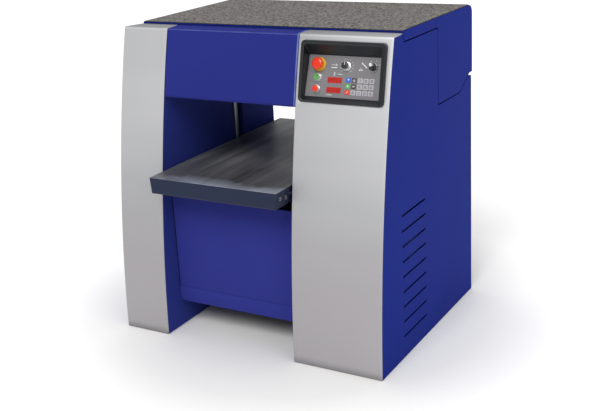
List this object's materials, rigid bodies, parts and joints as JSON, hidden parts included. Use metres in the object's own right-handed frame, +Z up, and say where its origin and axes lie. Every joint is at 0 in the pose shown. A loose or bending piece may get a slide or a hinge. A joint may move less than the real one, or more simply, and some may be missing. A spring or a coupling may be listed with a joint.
{
  "type": "thickness planer",
  "caption": "Free-standing single-sided thickness planer: curved twin-column body, lifting table in a through throat, tilting hood with mat, recessed control panel.",
  "frame": {"origin": "middle of the base of the bounding box, on the floor", "axes": "+X to the operator's right, +Y from the infeed front to the outfeed rear, +Z up"},
  "size_m": [1.07, 0.946, 1.134],
  "materials": {
    "silver_paint": "fine metallic powder coat, satin",
    "blue_paint": "smooth powder coat, semi-gloss",
    "frame_paint": "dark grey primer, matt",
    "table_iron": "ground top, painted edges",
    "machined_steel": "turned or ground",
    "chrome_ring": "bright",
    "bronze": "turned",
    "motor_grey": "grey machine enamel",
    "mat_rubber": "speckled non-slip sheet",
    "belt_rubber": "matt",
    "roller_rubber": "smooth",
    "black_plastic": "fine moulded grain",
    "plate_grey": "printed front foil, satin",
    "yellow_plastic": "moulded",
    "red_plastic": "moulded",
    "green_plastic": "moulded",
    "display_red": "clear filter",
    "key_foil": "embossed foil"
  },
  "bodies": {
    "frame": {"base_pans": "frame_paint", "left_side_frame": "blue_paint", "right_side_frame": "blue_paint", "left_side_panel": "blue_paint", "right_side_panel": "blue_paint", "left_front_cover": "silver_paint", "right_front_cover": "silver_paint", "head_front_panel": "blue_paint", "lower_front_panel": "blue_paint", "rear_panels": "blue_paint", "crossmembers": "frame_paint", "head_bridges": "frame_paint", "chip_chute": "blue_paint", "pressure_bar": "machined_steel", "guide_rails": "machined_steel", "spindle_bearings": "bronze", "head_bearings": "motor_grey", "main_motor": "motor_grey", "feed_motor": "motor_grey", "lift_motor": "motor_grey", "hinge_base_leaves": "machined_steel", "kickback_shaft": "machined_steel", "drive_chains": "machined_steel", "drive_belts": "belt_rubber", "panel_screws": "machined_steel", "cable_gland": "black_plastic", "control_bezel": "black_plastic", "control_plate": "plate_grey", "estop_base": "yellow_plastic", "button_collars": "chrome_ring", "display_windows": "display_red", "keypad_keys": "key_foil"},
    "table": {"table": "table_iron", "table_guide_shoes": "bronze", "table_end_bolts": "machined_steel", "lift_tubes": "machined_steel", "lift_nuts": "bronze"},
    "hood": {"hood": "blue_paint", "top_mat": "mat_rubber", "dust_outlet": "frame_paint", "hinge_hood_leaves": "machined_steel"},
    "cutterblock": {"cutterblock": "machined_steel", "cutter_knives": "machined_steel", "cutter_pulley": "machined_steel"},
    "motor_rotor": {"motor_pulley": "machined_steel"},
    "infeed_roller": {"infeed_roller": "machined_steel"},
    "outfeed_roller": {"outfeed_roller": "roller_rubber"},
    "feed_drive": {"feed_drive_sprocket": "machined_steel"},
    "lift_drive": {"lift_drive_sprocket": "machined_steel"},
    "kickback_fingers": {"kickback_fingers": "machined_steel"},
    "chip_breaker": {"chip_breaker": "machined_steel"},
    "estop": {"estop_button": "red_plastic"},
    "start": {"start_button": "green_plastic"},
    "stop": {"stop_button": "red_plastic"},
    "speed_knob": {"speed_knob": "black_plastic"},
    "mode_selector": {"mode_selector": "black_plastic"},
    "spindle_front_left": {"lift_spindle_front_left": "machined_steel"},
    "spindle_front_right": {"lift_spindle_front_right": "machined_steel"},
    "spindle_rear_left": {"lift_spindle_rear_left": "machined_steel"},
    "spindle_rear_right": {"lift_spindle_rear_right": "machined_steel"}
  },
  "joints": [
    {"name": "table_lift", "type": "slide", "parent": "frame", "child": "table", "axis": [0, 0, 1], "range_m": [-0.0406, 0.256]},
    {"name": "hood_tilt", "type": "hinge", "parent": "frame", "child": "hood", "pos_m": [0, 0.409, 0.8735], "axis": [-1, 0, 0], "range_deg": [0, 75]},
    {"name": "cutter_spin", "type": "hinge", "parent": "frame", "child": "cutterblock", "pos_m": [-0.074, -0.007, 0.9485], "axis": [1, 0, 0], "continuous": true},
    {"name": "motor_spin", "type": "hinge", "parent": "frame", "child": "motor_rotor", "pos_m": [0.235, -0.007, 0.33], "axis": [1, 0, 0], "continuous": true},
    {"name": "infeed_spin", "type": "hinge", "parent": "frame", "child": "infeed_roller", "pos_m": [-0.074, -0.125, 0.921], "axis": [1, 0, 0], "continuous": true},
    {"name": "outfeed_spin", "type": "hinge", "parent": "frame", "child": "outfeed_roller", "pos_m": [-0.074, 0.111, 0.921], "axis": [1, 0, 0], "continuous": true},
    {"name": "feed_drive_spin", "type": "hinge", "parent": "frame", "child": "feed_drive", "pos_m": [-0.39, -0.007, 0.78], "axis": [1, 0, 0], "continuous": true},
    {"name": "lift_drive_spin", "type": "hinge", "parent": "frame", "child": "lift_drive", "pos_m": [0.15, -0.019, 0.116], "axis": [0, 0, 1], "continuous": true},
    {"name": "kickback_swing", "type": "hinge", "parent": "frame", "child": "kickback_fingers", "pos_m": [-0.074, -0.232, 0.94], "axis": [1, 0, 0], "range_deg": [0, 60]},
    {"name": "chip_breaker_lift", "type": "hinge", "parent": "frame", "child": "chip_breaker", "pos_m": [-0.074, -0.007, 0.9485], "axis": [-1, 0, 0], "range_deg": [0, 8]},
    {"name": "estop_press", "type": "slide", "parent": "frame", "child": "estop", "axis": [0, 0.9348, -0.3551], "range_m": [0, 0.005]},
    {"name": "start_press", "type": "slide", "parent": "frame", "child": "start", "axis": [0, 0.9348, -0.3551], "range_m": [0, 0.003], "stiffness_N_per_m": 300, "springref_m": -0.002},
    {"name": "stop_press", "type": "slide", "parent": "frame", "child": "stop", "axis": [0, 0.9348, -0.3551], "range_m": [0, 0.003], "stiffness_N_per_m": 300, "springref_m": -0.002},
    {"name": "speed_turn", "type": "hinge", "parent": "frame", "child": "speed_knob", "pos_m": [0.359, -0.268, 1.02103], "axis": [0, -0.9348, 0.3551], "range_deg": [-135, 135]},
    {"name": "mode_turn", "type": "hinge", "parent": "frame", "child": "mode_selector", "pos_m": [0.455, -0.268, 1.02103], "axis": [0, -0.9348, 0.3551], "range_deg": [-92, 0]},
    {"name": "spindle_front_left_spin", "type": "hinge", "parent": "frame", "child": "spindle_front_left", "pos_m": [-0.244, -0.289, 0.3], "axis": [0, 0, 1], "continuous": true},
    {"name": "spindle_front_right_spin", "type": "hinge", "parent": "frame", "child": "spindle_front_right", "pos_m": [0.096, -0.289, 0.3], "axis": [0, 0, 1], "continuous": true},
    {"name": "spindle_rear_left_spin", "type": "hinge", "parent": "frame", "child": "spindle_rear_left", "pos_m": [-0.244, 0.251, 0.3], "axis": [0, 0, 1], "continuous": true},
    {"name": "spindle_rear_right_spin", "type": "hinge", "parent": "frame", "child": "spindle_rear_right", "pos_m": [0.096, 0.251, 0.3], "axis": [0, 0, 1], "continuous": true}
  ],
  "couplings": [
    {"joint": "motor_spin", "follows": "cutter_spin", "ratio": 0.6},
    {"joint": "outfeed_spin", "follows": "infeed_spin", "ratio": 1},
    {"joint": "feed_drive_spin", "follows": "infeed_spin", "ratio": 1},
    {"joint": "lift_drive_spin", "follows": "table_lift", "rad_per_m": 1047.2},
    {"joint": "spindle_front_left_spin", "follows": "table_lift", "rad_per_m": 1047.2},
    {"joint": "spindle_front_right_spin", "follows": "table_lift", "rad_per_m": 1047.2},
    {"joint": "spindle_rear_left_spin", "follows": "table_lift", "rad_per_m": 1047.2},
    {"joint": "spindle_rear_right_spin", "follows": "table_lift", "rad_per_m": 1047.2}
  ]
}
